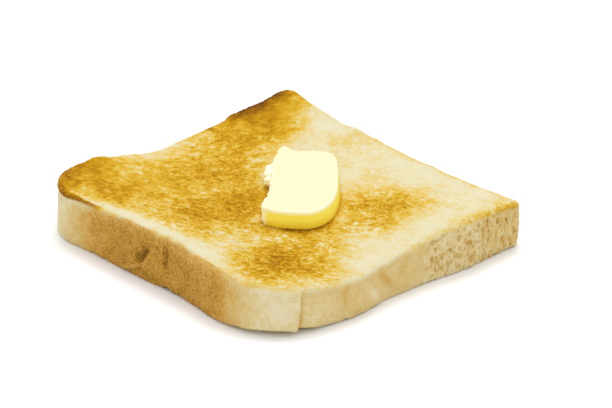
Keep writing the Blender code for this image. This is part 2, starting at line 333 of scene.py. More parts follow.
def on_outline(s, t, inset):
    """Carries the square -1..1 to the outline drawn in by inset. A point past an arc's centre
    both ways goes on the arc, whose radius shrinks with the cube of the ring it is on."""
    wide, long = HALF_X - inset, HALF_Y - inset
    ring = np.maximum(abs(s), abs(t))
    radius = np.maximum(corner_radius(s, t) - inset, SMALLEST_RADIUS) * ring**3
    centre_x, centre_y = ring * wide - radius, ring * long - radius
    from_x, from_y = abs(s) * wide - centre_x, abs(t) * long - centre_y
    cornered = (from_x > 0) & (from_y > 0)
    shrink = radius / np.where(cornered, np.hypot(from_x, from_y), 1)
    x = np.where(cornered, centre_x + from_x * shrink, abs(s) * wide)
    y = np.where(cornered, centre_y + from_y * shrink, abs(t) * long)
    return np.copysign(x, s), np.copysign(y, t)


def swells(x, y):
    """How far a point is carried out to the right and towards the loaf's top."""
    right = sum(swell * hill(y - at, reach) for at, reach, swell in SWELLS_RIGHT)
    dome = sum(swell * hill(x - at, reach) for at, reach, swell in SWELLS_DOME)
    to_right, to_dome = np.maximum(x / HALF_X, 0), np.maximum(-y / HALF_Y, 0)
    return np.column_stack((right * to_right**SWELL_FADE, -dome * to_dome**SWELL_FADE))


def near_front(x, y):
    """1 at the folded corner of the straight outline's square, falling to 0 at its reach."""
    return np.maximum(0, 1 - np.hypot(x - HALF_X, y + HALF_Y) / FRONT_REACH) ** 2


def flare(x, y, z):
    """How far the folded corner's crust splays out at its foot, towards the right and the
    loaf's top alike."""
    out = FRONT_FLARE * near_front(x, y) * (1 - z / FLARE_HEIGHT) * math.sqrt(0.5)
    return np.column_stack((out, -out))


def swollen(places):
    """Carries places of the straight-sided slice out with the swells and the flare."""
    x, y, z = places.T
    out = swells(x, y) + flare(x, y, z)
    return places + np.column_stack((out, np.zeros(len(places))))


def straightened(carried):
    """Where carried places were before, found by stepping back until it settles."""
    straight = carried.copy()
    for _ in range(20):
        straight = straight + carried - swollen(straight)
    return straight


corner = np.array([[HALF_X, -HALF_Y, 0.0]])
carry = (swollen(corner) - corner).round(1)[0]
print("the folded corner's foot is carried", carry[:2].tolist(), "mm")

# %% [markdown]
# ## The slice's broad form
#
# The frame's solid already has the curl of the real slice, so its top is read and not
# guessed again. It is faceted, though, and a skin this fine would show the facets. So a sum
# of soft hills is fitted through its corners by least squares: it is smooth everywhere, and
# how far it misses is printed. The rim's shortest waves, too short for the frame's cells, are
# small hills of their own.

# %% Fit the top
HILL_SPACING, HILL_REACH = 8.5, 10.0
FIT_FROM_EDGE, FIT_ABOVE = 1.4, 8.0  # the solid's corners that count as its top
LIP_WIDTH = 2.2
STRIP_FROM_EDGE, STRIP_HALF_WIDTH = 5.5, 3.5  # the strip along the loaf's top that stayed pale
CURL_LIFT, CURL_REACH = 2.5, 34.0
FRONT_LIFT = 3.0
RIM_WAVES = (  # x, y, reach, rise
    (-43.4, 49, 4.4, 1.35), (-34, 49, 3.2, 0.60), (-28, 49, 3.2, 0.75), (-16.5, 49, 4.2, 1.00),
    (-9.5, 49, 3.0, 0.35), (5, 49, 6.0, -0.35), (15, 49, 3.0, 0.35), (44, 49, 4.0, -0.45),
    (-50.6, 27, 3.6, 0.55), (-50.6, 33.5, 3.6, 0.45), (-50.6, 42, 3.6, 0.20), (-50.6, 6, 3.6, 0.50),
    (-50.6, -13, 8.0, 0.30), (-50.6, -26, 4.0, 0.75), (-48, -45, 6.0, 0.70), (-2, -49, 7.0, 0.60),
)


def lip(x, y):
    """1 on the crust, falling to 0 over the lip's width."""
    return 1 - ease(edge_distance(x, y) / LIP_WIDTH)


def pale_strip(x, y):
    """1 along the middle of the strip, fading to 0 at its sides and ends."""
    across = hill(y + HALF_Y - STRIP_FROM_EDGE, STRIP_HALF_WIDTH)
    return across * ease((x / HALF_X + 0.7) / 0.3) * ease((0.9 - x / HALF_X) / 0.3)


def form_terms(x, y):
    """What the top is a sum of, one a column: a level, a hill on each knot of a square net,
    the lip and the strip's dip."""
    knots = np.arange(-6, 7) * HILL_SPACING
    knot_x, knot_y = (axis.ravel() for axis in np.meshgrid(knots, knots))
    hills = hill(np.hypot(x[:, None] - knot_x, y[:, None] - knot_y), HILL_REACH)
    return np.column_stack((np.ones(len(x)), hills, lip(x, y), pale_strip(x, y)))


def frame_points(node):
    """The corners of a solid in the frame, in mm about the middle of the straight slice."""
    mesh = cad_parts[node].data
    flat = np.empty(len(mesh.vertices) * 3, np.float32)
    mesh.vertices.foreach_get("co", flat)
    return straightened(flat.reshape(-1, 3).astype(float) / MM - np.array(SWING_CENTRE) / MM)


solid = frame_points("toast_slice")
inside_edge = edge_distance(solid[:, 0], solid[:, 1]) > FIT_FROM_EDGE
on_top = solid[inside_edge & (solid[:, 2] > FIT_ABOVE)]
terms = form_terms(on_top[:, 0], on_top[:, 1])
form = np.linalg.lstsq(terms, on_top[:, 2], rcond=1e-6)[0]
miss = terms @ form - on_top[:, 2]

# The few points left over are corners of the dent, which is in the wall below the top
middling, most = np.percentile(abs(miss), (50, 99)).round(2)
print("the fitted top misses the frame's by", middling, "mm, or", most, "at 1 point in 100")


def top_height(x, y):
    """The fitted form and the rim's short waves."""
    waves = sum(
        rise * hill(np.hypot(x - wave_x, y - wave_y), reach)
        for wave_x, wave_y, reach, rise in RIM_WAVES
    )
    return form_terms(x, y) @ form + waves


def underside(x, y):
    """Flat on the table, but for the corner that has curled up and, less, the one across."""
    curled = CURL_LIFT * np.maximum(0, 1 - np.hypot(x + HALF_X, y - HALF_Y) / CURL_REACH) ** 2
    return curled + FRONT_LIFT * near_front(x, y)


# %% [markdown]
# ## Where the slice browned
#
# A toaster browns what stands nearest its wires, so the browning is broad soft patches: one
# edge caught and burnt, a strip under the loaf's top stayed pale. Painting them by hand would
# be the usual way. Here each patch is a soft oval with a place, a size and a strength, and
# they add up. 0 is dried but pale, 0.5 golden brown and 1.2 burnt.

# %% Browning patches
# x, y, reach along, reach across, turn of the long side from X in degrees, strength
BROWNING = {
    "burnt edge": (
        (-51, 38, 14, 5.0, 90, 1.15), (-47, 46, 8, 5, 50, 0.45), (-47, 28, 9, 5, 90, 0.20),
        (-48, 16, 7, 4, 90, 0.24),
    ),
    "back corner": ((-40, 34, 15, 10, 110, 0.66), (-34, 18, 9, 8, 60, 0.18)),
    "middle": (
        (-32, 7, 16, 9, 125, 0.36), (-20, 5, 12, 8, 130, 0.26), (-6, -6, 12, 8, 130, 0.40),
        (2, -17, 12, 8, 160, 0.34), (-32, -13, 14, 12, 100, 0.44), (-14, -16, 12, 11, 0, 0.28),
        (-4, -29, 15, 8, 0, 0.54), (16, -15, 7, 4, 30, 0.36), (-28, -30, 9, 9, 0, 0.20),
        (-44, 6, 9, 5, 90, 0.14),
    ),
    "left corner": (
        (-45, -42, 13, 3.6, 135, 0.60), (-47, -30, 10, 10, 120, 0.45),
        (-38, -38, 12, 8, 160, 0.40), (-27, -35, 7, 6, 0, 0.18), (-31, -44, 8, 2.6, 10, 0.12),
    ),
    "front corner": (
        (32, -30, 13, 10, 115, 0.58), (30, -14, 9, 9, 0, 0.26), (37, -38, 9, 8, 0, 0.24),
        (43, -25, 7, 9, 90, 0.16), (36, -17, 6, 4, 120, 0.10), (12, -35, 7, 4, 0, -0.08),
        (20, -8, 6, 6, 0, 0.28), (22, -24, 7, 7, 0, 0.12),
    ),
    "right": (
        (19, 15, 9, 7, 60, 0.40), (26, 24, 10, 9, 20, 0.36), (30, 7, 9, 8, 90, 0.32),
        (12, 26, 9, 7, 60, 0.08), (24, -2, 5, 5, 0, 0.14),
    ),
    "gold rims": (
        (50, 34, 16, 3.4, 90, 0.26), (46, 43, 6, 5, 40, 0.10), (6, -37, 22, 3.5, 0, 0.20),
        (-22, -39, 12, 3.0, 0, 0.20), (-2, -41, 11, 2.6, 0, 0.17), (22, 49, 32, 2.2, 0, 0.22),
    ),
    "gold spots": (
        (-16, 40, 5, 9, 90, 0.14), (-3, 32, 9, 4, 10, 0.08), (-9, 46, 7, 5, 0, 0.06),
        (-27, 42, 9, 5, 0, -0.09),
    ),
}
MOTTLES = ((4.2, 0.13, 21), (1.9, 0.15, 22), (0.95, 0.16, 23))  # size, strength, seed
BROWNING_WANDER = 1.6  # how far the edges of the patches stray
STRIP_MIDDLE = 4.6  # how far in from the loaf's top the palest line of the strip is
DRIED = 0.02  # how much paler than the patches' zero the crumb is between them

# The pat of butter: its middle, its turn in degrees, half its length and how far its skin is
BUTTER_CENTRE, BUTTER_TURN = (4.4, 4.8), 46
BUTTER_HALF_LENGTH, BUTTER_TO_SKIN = 22.2, 9.9
SOAK_SHADE_SQUARENESS, SOAK_SHADE_REACH = 2.3, 1.1


def turned(x, y, degrees):
    """How far a point is along, and across, a direction that is turned from X:
    x cos + y sin, and y cos - x sin."""
    cos, sin = math.cos(math.radians(degrees)), math.sin(math.radians(degrees))
    return x * cos + y * sin, y * cos - x * sin


def soak_and_painted_shade(x, y):
    """1 close round the pat of butter, where its fat has gone into the crumb and darkened it,
    and where painted contact shade darkens it too: a ring along a superellipse."""
    across, along = turned(x - BUTTER_CENTRE[0], y - BUTTER_CENTRE[1], BUTTER_TURN)
    wide, long = abs(across / BUTTER_TO_SKIN), abs(along / BUTTER_HALF_LENGTH)
    share = (wide**SOAK_SHADE_SQUARENESS + long**SOAK_SHADE_SQUARENESS) ** (1 / SOAK_SHADE_SQUARENESS)
    return hill((share - 1) * BUTTER_TO_SKIN, SOAK_SHADE_REACH)


def ovals(x, y, patches):
    """The sum of soft ovals, each its strength times exp(-(along/reach)^2 - (across/reach)^2)."""
    total = np.zeros(len(x))
    for at_x, at_y, reach_along, reach_across, turn, strength in patches:
        along, across = turned(x - at_x, y - at_y, turn)
        total += strength * hill(np.hypot(along / reach_along, across / reach_across), 1)
    return total


def broad_browning(places):
    """The patches, with edges that wander, less the strip that stayed pale."""
    x, y = places[:, 0], places[:, 1]
    wander_x = BROWNING_WANDER * rough_noise(places, 7, 11)
    wander_y = BROWNING_WANDER * rough_noise(places, 7, 12)
    broad = sum(ovals(x + wander_x, y + wander_y, patches) for patches in BROWNING.values())
    half_width = 0.9 + 1.5 * ease((x + 22) / 44)
    strip = hill((y + HALF_Y - STRIP_MIDDLE - 0.5 * wander_x) / half_width, 1)
    strip *= ease((x / HALF_X + 0.6) / 0.15) * ease((0.8 - x / HALF_X) / 0.3)
    paler = 0.16 - 0.10 * ease((x + 26) / 16)
    return broad - DRIED - paler * strip * ease(0.8 - broad)


def mottled(places, broad, relief, grain):
    """Browning as it is seen: it varies at three sizes where it has browned, and the floors
    of the cups stay paler than the walls between them."""
    lively = 0.30 + 0.70 * ease(broad / 0.35)
    mottle = sum(share * noise(places, size, seed) for size, share, seed in MOTTLES)
    return broad + lively * (mottle + 0.42 * grain * np.clip(relief / 0.3, -1.2, 0.7))


strengths = [patch[5] for patches in BROWNING.values() for patch in patches]
print(len(strengths), "patches of browning, from", min(strengths), "to", max(strengths))

# %% [markdown]
# ## The crumb's relief
#
# Cutting a loaf opens its bubbles, so a slice's face is a net of thin walls round shallow
# cups of 0.5 to 3 mm. Toasting hardens the walls' tips and browns them first, and the floors
# of the cups stay paler. The cups are bubbles of three sizes, and the walls between them get
# a fine unevenness. A shader's bump alone would leave the slice's edge against the light
# perfectly smooth.

# %% Crumb
# Grain, depth and the share of the bubbles that opened
CUPS = ((3.4, 0.34, 0.30), (1.7, 0.26, 0.55), (1.0, 0.16, 0.75))
WALL_ROUGHNESS = 0.22
HOLES = (  # x, y, radius
    (21.9, -34.8, 0.9), (9.2, -33.3, 0.8), (-5.8, -17.9, 0.9), (17, -32.4, 0.7),
)


def crumb_relief(places, crisp):
    """Height above the broad form: minus each bubble's cup, a paraboloid as wide as its own
    random number says, brought to a mean of 0, plus the walls' roughness. crisp is 0 on pale
    soft crumb and 1 on brown."""
    height = np.zeros(len(places))
    for seed, (grain, depth, opened) in enumerate(CUPS):
        away, own = bubbles(places, grain, 31 + seed)
        radius = 0.25 + 0.35 * own
        cup = np.maximum(0, 1 - (away / radius) ** 2) * (own < opened)
        height -= depth * cup
    height += WALL_ROUGHNESS * rough_noise(places, 1.1, 41, 2) - height.mean()
    return height * (0.5 + 0.5 * crisp)


def hole_parts(x, y):
    """For the few big bubbles: 1 in the hole of each, and 1 on the thin pale rim round it.
    Each is an oval turned its own way."""
    inside, rim = np.zeros(len(x)), np.zeros(len(x))
    for at_x, at_y, radius in HOLES:
        round_it = np.arctan2(y - at_y, x - at_x)
        away = np.hypot(x - at_x, y - at_y) * (1 + 0.3 * np.sin(2 * round_it + at_x))
        inside += hill(away, radius)
        rim += hill(away - 1.9 * radius, 0.55 * radius)
    return inside, rim


sample = crumb_relief(np.random.default_rng(1).uniform(-20, 20, (2000, 3)), 1.0)
print("the crumb's relief is from", sample.min().round(2), "to", sample.max().round(2), "mm")

# %% [markdown]
# ## The crust
#
# The crust is the loaf's outside, cut across: a skin about a millimetre thick. On the
# loaf's top side it is smooth and brown, with a blind dent and a crease. Round the folded
# corner it is pale, and the skin of the dough overlaps itself in a step. On the side that
# touched the tin it is pale gold and porous. Each mark is a named formula in the two
# directions of the crust: along it, and up from the table.

# %% Crust marks
FOLD_ANGLE, FOLD_STEP, FOLD_FADE, FOLD_LEAN = math.radians(-23), 0.55, 14.0, 0.06
DENT_X, DENT_Z, DENT_LEAN = -2.2, 7.6, 0.7
CREASE_X, CREASE_Z = 6.8, 10.3
WRINKLES = (  # y, z, lean, reach, depth
    (-8.7, 7.2, -0.8, 2.0, 0.64), (-14.7, 4.6, -0.8, 1.8, -0.50),
    (-1.5, 8.2, 0.3, 1.6, 0.3), (-25.3, 8.2, 0.1, 1.0, 0.3),
)
PIT_DEPTH = 0.85
PITS = (  # y, z, half width, half height
    (36.6, 11.2, 0.6, 0.7), (23.8, 8.2, 1.2, 0.8), (10.7, 11.9, 1.0, 0.6), (16.9, 7.8, 0.9, 0.5),
    (14.1, 6.7, 0.7, 0.5), (19.2, 5.4, 0.8, 0.5), (12.7, 5.7, 0.9, 0.7), (10.3, 6.9, 0.9, 0.7),
    (25.5, 3.1, 1.3, 1.0), (14.0, 3.4, 1.0, 0.7), (29.7, 8.9, 0.5, 2.0), (32.3, 8.0, 0.4, 1.3),
    (35.8, 5.7, 0.5, 1.2), (39.0, 4.6, 0.5, 0.9), (42.1, 3.4, 0.6, 0.5), (31.7, 11.7, 0.4, 1.4),
    (20.4, 10.8, 0.6, 0.4), (27.6, 12.2, 0.5, 0.8), (40.4, 10.0, 0.4, 0.9), (43.9, 6.6, 0.4, 0.8),
)


def past_fold(x, y, z):
    """How far round the crust a place is past the corner's fold, negative before it. The fold
    leans: it is further back at its foot."""
    centre_x, centre_y = HALF_X - DOME_RADIUS_RIGHT, DOME_RADIUS_RIGHT - HALF_Y
    on_arc = DOME_RADIUS_RIGHT * (np.arctan2(y - centre_y, x - centre_x) - FOLD_ANGLE)
    beyond = y - centre_y - DOME_RADIUS_RIGHT * FOLD_ANGLE
    before = -DOME_RADIUS_RIGHT * (math.pi / 2 + FOLD_ANGLE) - (centre_x - x)
    past = np.where(x < centre_x, before, np.where(y < centre_y, on_arc, beyond))
    return past + FOLD_LEAN * (7 - z)


def fold_relief(past):
    """A raised hem before the fold, a groove at it, and a step that fades away past it."""
    hem = 0.22 * hill(past + 0.9, 1.1) * (past < 0.2)
    step = -FOLD_STEP * (past >= 0) * ease(1 - past / FOLD_FADE)
    groove = -0.25 * np.where(past < 0.3, hill(past - 0.3, 0.45), hill(past - 0.3, 3.0))
    return hem + step + groove


def dome_side_marks(x, z):
    """The dent, a leaning slit with a soft left side and a raised right edge, the ridge that
    runs down from it in a curve, the shallow crease, and the chip out of the foot."""
    across = x - DENT_X - DENT_LEAN * (z - DENT_Z)
    dent = -1.5 * hill(across, 1.0) * hill(z - DENT_Z, 2.3) * ease((1.4 - across) / 0.5)
    edges = 0.35 * hill(across - 1.9, 0.5) - 0.45 * hill(across + 1.6, 1.2)
    dent += edges * hill(z - DENT_Z + 0.6, 2.2)
    above = z - 1.2 - 0.10 * (x + 11.6) - 0.036 * (x + 11.6) ** 2
    ridge = 0.50 * hill(above, 0.45) - 0.25 * hill(above + 1.0, 0.5)
    ridge *= ease((x + 12) / 1.5) * ease((-2.4 - x) / 1.2)
    crease = -0.7 * hill(x - CREASE_X, 1.0) * hill(z - CREASE_Z, 4.0)
    chip = -0.9 * hill(x - 7.2, 1.6) * hill(z, 1.1)
    return dent + ridge + crease + chip


def tin_side_marks(y, z):
    """Slanted wrinkles and the pits of bubbles that burst against the tin."""
    wrinkles = sum(
        -deep * hill(y - at - lean * (z - mid), reach) * hill(z - mid, 4.0)
        for at, mid, lean, reach, deep in WRINKLES
    )
    pits = sum(
        -PIT_DEPTH * hill(np.hypot((y - at) / wide, (z - up) / tall), 1)
        for at, up, wide, tall in PITS
    )
    return wrinkles + pits


dent_floor = dome_side_marks(np.array([DENT_X]), np.array([DENT_Z]))[0]
print("the dent is", -dent_floor.round(2), "mm deep, and the tin's side has", len(PITS), "pits")

# %% The slice's skin
SLICE_CELLS, SLICE_ROWS = 240, 34
TOP_ROWS, FOOT_ROWS = 6, 3  # of the side's rows, those that round its edges
TOP_EDGE_RADIUS, FOOT_EDGE_RADIUS, CRUST_BULGE = 1.5, 0.9, 0.4
BELOW_INSET = 2.6  # where the net below begins


def side_profile(row, rows, top_rows, foot_rows, top_radius, foot_radius):
    """A row's inset, its share of the wall between the rounded edges, its height above the
    wall's top or foot, and the slope of its skin: 0 upright, 1 level."""
    top_turn = np.pi / 2 * np.clip(1 - row / top_rows, 0, 1)
    foot_turn = np.pi / 2 * np.clip(1 - (rows - row) / foot_rows, 0, 1)
    inset = top_radius * (1 - np.cos(top_turn)) + foot_radius * (1 - np.cos(foot_turn))
    share = np.clip((rows - foot_rows - row) / (rows - foot_rows - top_rows), 0, 1)
    rise = top_radius * np.sin(top_turn) - foot_radius * np.sin(foot_turn)
    return inset, share, rise, np.sin(top_turn) - np.sin(foot_turn)


def slice_skin():
    """The slice's broad skin: places, the way out at each, and each vertex's row."""
    s, t, row, faces = slab_net(SLICE_CELLS, SLICE_ROWS)
    s, t = s * (1 + EDGE_PACKING * (1 - s * s)), t * (1 + EDGE_PACKING * (1 - t * t))
    below = row > SLICE_ROWS
    inset, share, rise, slope = side_profile(
        np.minimum(row, SLICE_ROWS), SLICE_ROWS, TOP_ROWS, FOOT_ROWS,
        TOP_EDGE_RADIUS, FOOT_EDGE_RADIUS,
    )
    bulge = CRUST_BULGE * (1 - np.sin(np.pi * (0.1 + 0.8 * share)))
    x, y = on_outline(s, t, np.where(below, BELOW_INSET, inset + bulge))
    rim_inset = np.where(row == 0, inset + bulge, TOP_EDGE_RADIUS + CRUST_BULGE)
    rim_x, rim_y = on_outline(s, t, rim_inset)
    foot = underside(x, y)
    top = top_height(rim_x, rim_y)
    wall_foot, wall_top = foot + FOOT_EDGE_RADIUS, top - TOP_EDGE_RADIUS
    z = np.where(below, foot, wall_foot + (wall_top - wall_foot) * share + rise)
    out_x, out_y = outward(s, t)
    flat = np.sqrt(1 - slope**2)
    way = np.column_stack((out_x * flat, out_y * flat, slope))
    way[row == 0] = (0, 0, 1)
    way[below] = (0, 0, -1)
    return np.column_stack((x, y, z)), way, row, faces


def outward(s, t):
    """The level way out at each place, from its arc's centre or its straight side."""
    x, y = on_outline(s, t, 0)
    radius = np.maximum(corner_radius(x, y), SMALLEST_RADIUS)
    over_x = np.maximum(abs(x) - (HALF_X - radius), 0)
    over_y = np.maximum(abs(y) - (HALF_Y - radius), 0)
    size = np.maximum(np.hypot(over_x, over_y), 1e-6)
    return np.copysign(over_x / size, x), np.copysign(over_y / size, y)


places, way, row, faces = slice_skin()
print("the slice's skin has", len(places), "vertices")

# %% [markdown]
# ## Relief and browning together
#
# Relief and colour come from the same numbers, as they do in the toaster: what stands out is
# browner, and what lies deep is paler. So both are worked out here and kept on the mesh as
# attributes for the material: toasting for the cut faces, bake for the crust, and crust to
# say which of the two a place is.

# %% Relief of the cut faces
x, y, z = places.T
is_top, is_side, is_below = row == 0, (row > 0) & (row <= SLICE_ROWS), row > SLICE_ROWS
RIM_LINE = 1.9  # how far in from the outline the rim's own height is read

# How far a place on the side is below the rim
depth = np.where(is_side, top_height(*on_outline(x / HALF_X, y / HALF_Y, RIM_LINE)) - z, 0)

# The crumb is least lively by the curled corner and by the one with the browned lip
broad = broad_browning(places)
grain = 0.95 - 0.75 * hill(np.hypot(x + 44, y - 40), 22)
grain -= 0.55 * hill(np.hypot(x + 42, y + 26), 20)
relief = crumb_relief(places, ease(broad / 0.35))

# Two small steps in the rim of the loaf's left side
steps = ease((-22.4 - y) / 0.6) * hill(y + 26, 6) + ease((y - 24.5) / 0.6) * hill(y - 28, 6)
relief += 0.5 * hill(x + HALF_X, 3) * steps

inside, rim = hole_parts(x, y)
relief += is_top * (0.30 * rim - 0.9 * inside)
toasting = mottled(places, broad, relief, grain)
# The ring round the butter is its fat's soak and painted contact shade together
toasting += -0.30 * rim + 0.15 * inside + 0.45 * soak_and_painted_shade(x, y)
on_cut = toasting[is_top]
print("toasting on the cut face is from", on_cut.min().round(2), "to", on_cut.max().round(2))

# %% Relief of the crust
crust_relief = 0.30 * noise(places, 9, 51) + 0.16 * rough_noise(places, 3.2, 52)
crust_relief += 0.05 * noise(places, 1.1, 53)

# Pores on the side that touched the tin: taller than wide, in two sizes
porous = ease((x - HALF_X + 6) / 4) * ease((y - 2) / 10)
pores = np.zeros(len(places))
for seed, (spacing, deep) in enumerate(((1.5, 1.0), (0.95, 0.7))):
    away, own = bubbles(places * (1, 1.0, 0.55), spacing, 54 + seed)
    pore = deep * np.maximum(0, 1 - (away / (0.25 + 0.25 * own)) ** 2)
    pores = np.maximum(pores, pore * (own < 0.75))
crust_relief += porous * (-0.50 * pores + 0.16 * noise(places, 1.0, 57))

# The marks, each on the side of the loaf that has them
dome_side = ease((-y - HALF_Y + 10) / 4) * (x < HALF_X - 6)
tin_side = ease((x - HALF_X + 2.0) / 1.5) * ease((y + 33) / 4)
past = past_fold(x, y, z)
side_marks = dome_side * dome_side_marks(x, z) + tin_side * tin_side_marks(y, z)
marks = fold_relief(past) + side_marks
upright = ease(np.sqrt(1 - way[:, 2] ** 2) * 1.3)
ragged = -0.55 * ease(noise(places, 1.9, 56) - 0.1) * hill(z, 1.5)
crust_relief = crust_relief * upright + marks * ease(depth / 1.2 + 0.15) + ragged * is_side

# %% The browned lip
# It hangs over the pale crust of the loaf's left top corner, and is thicker towards -X
lip_zone = ease((-18 - x) / 8) * ease((-27 - y) / 6)
lip_depth = 0.5 + 1.6 * ease((-24 - x) / 14)
lip_relief = 0.25 * hill(depth - 0.6 * lip_depth, 0.7)
lip_relief -= 0.55 * hill(depth - lip_depth - 0.6, 0.8)
lip_relief -= 0.8 * ease((-30 - x) / 8) * hill(depth, 1.1)
crust_relief += lip_zone * lip_relief
print("the lip is", lip_depth.min().round(1), "to", lip_depth.max().round(1), "mm deep")

# %% Move the skin
# The cut face's relief runs over the rim and gives way to the crust's below it
in_side = ease(depth / 1.5)
lift = np.where(is_side, crust_relief * in_side + relief * (1 - in_side), relief)
lift[is_below] = np.minimum(relief[is_below], 0) * -1
moved = places + way * np.where(is_below, -1, 1)[:, None] * lift[:, None]
moved[:, 2] = np.maximum(moved[:, 2], 0)
moved = swollen(moved)
print("relief moves the skin by", lift.min().round(2), "to", lift.max().round(2), "mm")

# %% How brown the loaf's top is
# Brown in the middle, pale at both corners, and paler in a wedge under the lip
edge_wander = 1.0 * noise(places, 4, 62)
on_dome = 0.95 * ease((x + 43 + edge_wander) / 29) * ease((-past - 7 + edge_wander) / 20)
wedge = lip_zone * ease(((-18 - x) * 0.30 - depth + edge_wander) / 2.5)
on_dome *= 1 - 0.85 * wedge
dome_face = ease((-y - HALF_Y + DOME_RADIUS_LEFT) / 6) * (past < 0)
print("the crust of the loaf's top is baked up to", on_dome[dome_face > 0.5].max().round(2))

# %% How brown the whole crust is
# The side that touched the tin is pale gold in broad bands, and the loaf's foot is browner
burnt = ease(ovals(x, y, BROWNING["burnt edge"])) * ease((6 - depth) / 5)
on_tin = 0.20 + 0.20 * ease((y + 38) / 24) - 0.06 * ease((y + 14) / 6) + 0.08 * ease(y / 20)
on_tin += 0.12 * hill(y + 26.9, 3) * hill(z - 7.7, 4)
loaf_foot = ease((y - HALF_Y + 4) / 3)
bake = on_tin * (1 - dome_face) + (0.06 + on_dome) * dome_face
bake += 0.35 * loaf_foot * ease((HALF_X - 3 - x) / 3)

# Blotches, the paler rim of the loaf's top, and painted shade and highlight where the crust's marks
# sink and stand out
bake += 0.09 * noise(places, 2.6, 63) + 0.10 * noise(places, 1.0, 64)
bake += 0.08 * noise(places, 6, 69)
bake -= 0.30 * dome_face * on_dome * hill(depth, 2.6)
# Painted shade where the dent, crease, chip, wrinkles and pits sink, and a painted highlight where
# the dent's right edge, the ridge and a wrinkle stand out
bake += 0.50 * np.clip(-side_marks, 0, 1) - 0.50 * np.clip(side_marks, 0, 1)
# Painted shade along the groove of the fold
bake += 0.34 * hill(past - 0.3, 0.6)
bake -= 0.30 * ease(noise(places, 1.5, 68) + 0.2) * hill(z, 1.0)

# The porous part is darker in its pores, as painted shade, and paler between them
between = 0.25 * pores - 0.24 + 0.16 * ease((y - 26) / 10)
between += 0.12 * noise(places * (1, 1, 0.5), 1.3, 70)
bake += porous * between + 0.7 * burnt
print("bake on the side is from", bake[is_side].min().round(2), "to", bake[is_side].max().round(2))

# %% Where the crust begins
# It begins a little below the rim, and right at the rim on the loaf's top
rim_up = 1.6 + 0.6 * noise(places, 2.2, 66)
from_rim = 0.2 - dome_face * (0.3 + 0.9 * hill(x + 6, 11) + 1.9 * hill(x - 28, 10))
into_crust = (depth - from_rim + 0.4 * noise(places, 4.5, 72)) / rim_up
crust = np.where(is_side, ease(into_crust + 0.20 * rough_noise(places, 2.4, 61)), 0)
crust *= 1 - lip_zone * ease((lip_depth - depth) / 0.6)
print("crust covers", round(100 * crust[is_side].mean()), "% of the side's vertices")

# %% The toasted rim
golden = dome_face * ease((x + 24) / 8) * ease((-past - 1) / 6)
golden += 0.8 * (1 - dome_face) * ease((y + 22) / 30)
golden *= hill(depth - 1.0, 1.5) * (0.12 + 0.16 * rough_noise(places, 3.4, 67))
scorched = lip_zone * hill(depth - 0.55 * lip_depth, 1.1)
scorched *= 0.95 - 0.60 * ease((-34 - x) / 8)
toasting = np.where(is_side, toasting + golden + scorched, toasting)
looks = {
    "toasting": toasting, "crust": crust, "bake": bake, "porous": porous * is_side, "grain": grain,
}
toast = make_piece("toasted_slice", moved, faces, looks)
print(toast.name, "carries", ", ".join(looks))

# %% [markdown]
# ## Toasted white bread
#
# White bread is matt: its dry crumb scatters light with no shine. Toasting turns its sugars
# from cream through gold to brown along one fixed row of colours, so the material needs only
# the number for how toasted a place is, and a ramp. The crust has its own, greyer ramp. The
# finest specks are smaller than the net, so noise in the material adds them.

# %% Material helpers
MATH, RANGE, READ = "ShaderNodeMath", "ShaderNodeMapRange", "ShaderNodeAttribute"
TIMES_PLUS = "MULTIPLY_ADD"  # the first times the second, plus the third


def add_node(tree, kind, inputs=None, **settings):
    """Adds a node. Its inputs are given by name or number, each a value or another node's
    output, and its settings by name."""
    made = tree.nodes.new(kind)
    for name, value in settings.items():
        setattr(made, name, value)
    for socket, value in (inputs or {}).items():
        if isinstance(value, bpy.types.NodeSocket):
            tree.links.new(value, made.inputs[socket])
        else:
            made.inputs[socket].default_value = value
    return made


def set_stops(ramp, stops):
    """Gives a colour ramp its stops: a place from 0 to 1 and a colour each."""
    row = ramp.color_ramp.elements
    while len(row) < len(stops):
        row.new(1.0)
    for element, (place, colour) in zip(row, stops):
        element.position, element.color = place, linear(colour)


def new_material(name):
    """A material, its tree and the principled surface in it."""
    made = bpy.data.materials.new(name)
    made.use_nodes = True
    return made, made.node_tree, made.node_tree.nodes["Principled BSDF"]


# %% Bread material
PALEST, DARKEST = -0.2, 1.4  # the ends of the row of crumb colours
CRUMB_COLOURS = (
    (-0.20, "#dad3b9"), (0.00, "#d5cca7"), (0.15, "#d4ba6e"), (0.25, "#d2b150"), (0.35, "#cda633"),
    (0.45, "#c89c25"), (0.55, "#c19319"), (0.65, "#b98810"), (0.75, "#b07e0a"), (0.85, "#a67408"),
    (1.05, "#905f08"), (1.25, "#794d09"), (1.40, "#623f0c"),
)
CRUST_COLOURS = (
    (0.0, "#d9cda8"), (0.2, "#d2be88"), (0.4, "#cdb274"), (0.6, "#c8a45a"), (0.8, "#c19444"),
    # The darkest stop serves the burnt edge and the painted shade in the dent
    (1.0, "#b3842f"), (1.3, "#805b17"),
)
CRUST_SPAN = 1.3  # the end of the row of crust colours
SPECK = 0.60 * MM  # crumb tips that caught first, drawn as coarse as they need to show
CELL = 0.95 * MM  # the smallest bubbles of the crumb
PORE, PORE_WIDTH_SHARE = 1.1 * MM, 0.6  # burst bubbles of the tin's side, taller than wide


